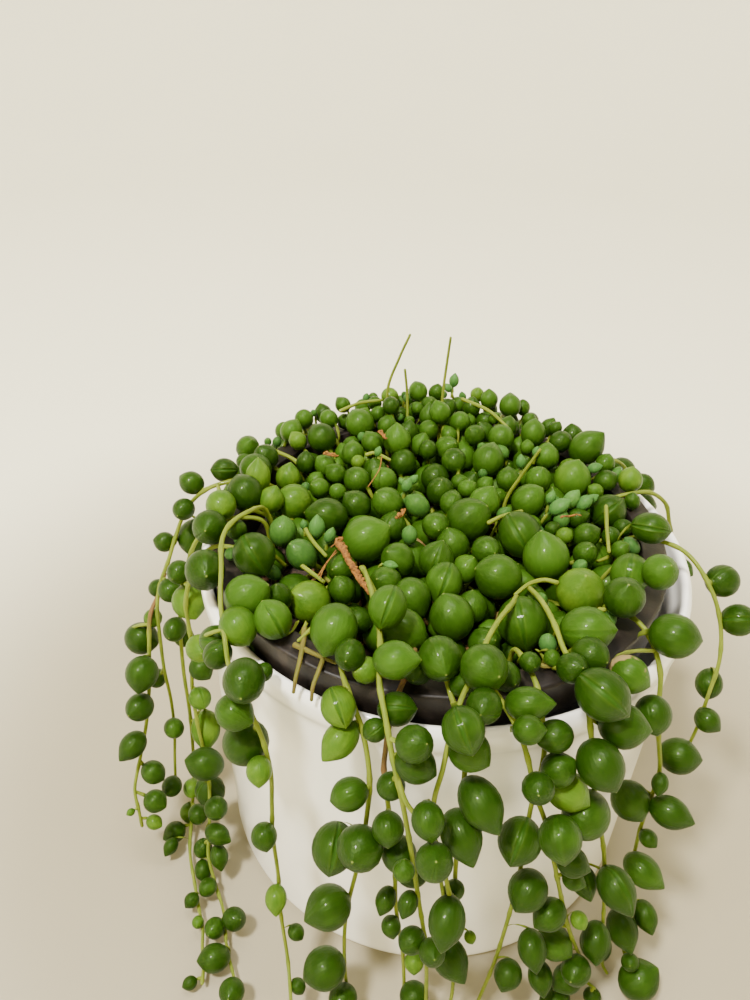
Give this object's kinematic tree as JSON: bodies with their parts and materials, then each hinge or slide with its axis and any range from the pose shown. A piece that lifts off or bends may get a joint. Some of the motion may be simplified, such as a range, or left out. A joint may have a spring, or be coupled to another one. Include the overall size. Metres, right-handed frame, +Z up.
{
  "type": "potted string of pearls plant",
  "caption": "Trailing succulent with round bead leaves, growing in a plastic nursery pot set inside a plain white glazed cylinder planter, stems spilling over the rim.",
  "frame": {"origin": "centre of the planter's flat base, on the surface that it stands on", "axes": "+Z up; -Y is the front, where most stems hang; +X is to the viewer's right"},
  "size_m": [0.1673, 0.1639, 0.1382],
  "materials": {
    "planter_glaze": "smooth white glaze, glossy, with a soft rolled rim",
    "nursery_plastic": "dark taupe moulded plastic, satin",
    "soil": "dark brown potting soil with bark and grit, matt",
    "crown_foliage": "fleshy green bead leaves with a darker window line, satin",
    "strand_foliage": "fleshy green bead leaves on pale green stems, satin"
  },
  "bodies": {
    "root": {"outer_pot": "planter_glaze", "nursery_pot": "nursery_plastic", "soil": "soil", "crown": "crown_foliage", "left_arch": "strand_foliage", "left_trail": "strand_foliage", "left_curtain": "strand_foliage", "left_front": "strand_foliage", "left_single": "strand_foliage", "front_left": "strand_foliage", "front_long": "strand_foliage", "front_inner": "strand_foliage", "front_arch": "strand_foliage", "front_mid": "strand_foliage", "front_right": "strand_foliage", "front_right_inner": "strand_foliage", "right_front": "strand_foliage", "right_long": "strand_foliage", "right_arch": "strand_foliage", "back_right_low": "strand_foliage", "back_right_mid": "strand_foliage", "back_right_high": "strand_foliage", "back_centre_low": "strand_foliage", "back_centre_mid": "strand_foliage", "back_left_high": "strand_foliage", "back_left_low": "strand_foliage", "back_left_mid": "strand_foliage"}
  },
  "joints": []
}
